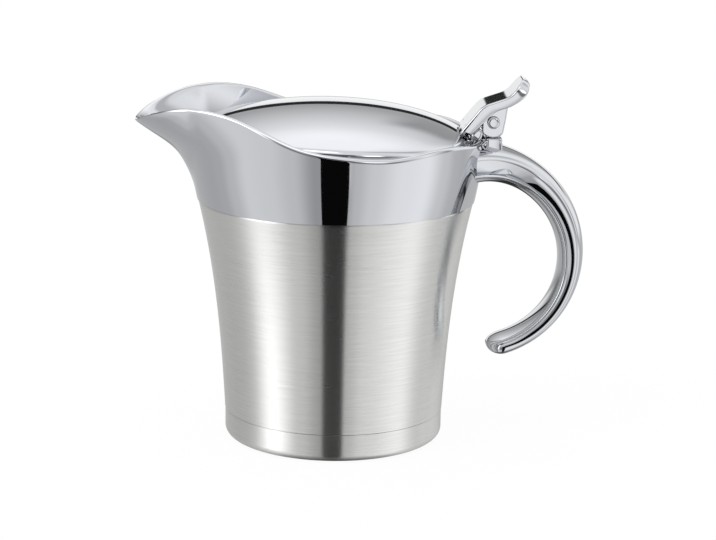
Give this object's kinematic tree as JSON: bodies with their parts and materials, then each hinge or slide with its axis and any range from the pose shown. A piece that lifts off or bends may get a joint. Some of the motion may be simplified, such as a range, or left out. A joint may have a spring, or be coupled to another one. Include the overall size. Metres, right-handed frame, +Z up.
{
  "type": "insulated sauce jug",
  "caption": "Insulated sauce jug: brushed double-wall cup, chrome collar with a wide spout, open C-shaped handle and a hinged domed lid with a thumb lever.",
  "frame": {"origin": "centre of the flat standing face under the cup", "axes": "+Z up along the cup's axis, -X towards the spout, +X towards the handle, +Y along the hinge pin"},
  "size_m": [0.167, 0.108, 0.1358],
  "materials": {
    "brushed_shell": "horizontally brushed stainless steel",
    "satin_liner": "satin drawn stainless steel",
    "chrome_plate": "bright chrome plate",
    "screw_steel": "plain stainless screws",
    "bush_brass": "turned brass",
    "silicone": "matt silicone",
    "spacer_plastic": "moulded polypropylene",
    "foam": "rigid foam"
  },
  "bodies": {
    "jug": {"outer_shell": "brushed_shell", "base_cap": "brushed_shell", "inner_liner": "satin_liner", "liner_spacer": "spacer_plastic", "liner_seal": "silicone", "shell_seal": "silicone", "collar": "chrome_plate", "handle_shell": "chrome_plate", "handle_cover": "chrome_plate", "handle_screws": "screw_steel", "hinge_bush": "bush_brass"},
    "lid": {"lid_cover": "chrome_plate", "lid_liner": "satin_liner", "lid_insulation": "foam", "lid_seal": "silicone", "thumb_lever": "chrome_plate", "lever_screws": "screw_steel", "hinge_pin": "chrome_plate"}
  },
  "joints": [
    {"name": "lid_hinge", "type": "hinge", "parent": "jug", "child": "lid", "pos_m": [0.0571, 0, 0.1198], "axis": [0, 1, 0], "range_deg": [0, 80]}
  ]
}
